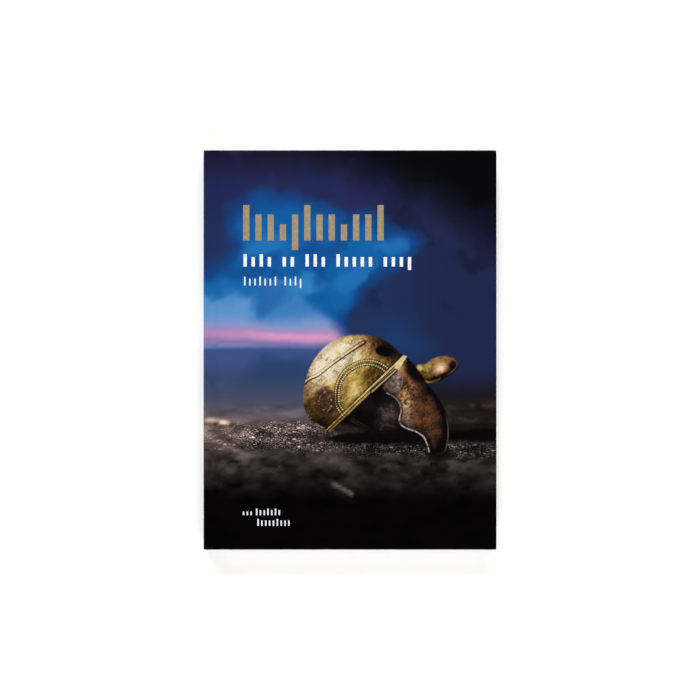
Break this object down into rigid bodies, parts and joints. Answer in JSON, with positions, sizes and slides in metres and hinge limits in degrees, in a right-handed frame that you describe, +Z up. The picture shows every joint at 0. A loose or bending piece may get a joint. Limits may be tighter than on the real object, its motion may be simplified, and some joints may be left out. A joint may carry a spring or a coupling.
{
  "type": "hardback book",
  "caption": "Large-format hardback book with a printed paper case, square spine, sewn leaves and a front cover that opens.",
  "frame": {"origin": "middle of the underside of the closed book lying on its back cover", "axes": "+X from the spine to the fore edge, +Y from the tail to the head, +Z up through the front cover"},
  "size_m": [0.198, 0.27, 0.0272],
  "materials": {
    "printed_cover": "satin",
    "leaf_paper": "matte",
    "end_paper": "matte",
    "band_cloth": "matte",
    "gold_ink": "satin",
    "white_ink": "satin"
  },
  "bodies": {
    "book": {"back_board": "printed_cover", "back_joint": "printed_cover", "back_pastedown": "end_paper", "spine_board": "printed_cover", "text_block": "leaf_paper", "front_flyleaf": "end_paper", "back_flyleaf": "end_paper", "headband": "band_cloth", "tailband": "band_cloth"},
    "front_cover": {"front_board": "printed_cover", "front_joint": "printed_cover", "front_pastedown": "end_paper"}
  },
  "joints": [
    {"name": "front_cover_hinge", "type": "hinge", "parent": "book", "child": "front_cover", "pos_m": [-0.096, 0, 0.02525], "axis": [0, -1, 0], "range_deg": [0, 186], "deforming": ["front_joint"]}
  ]
}
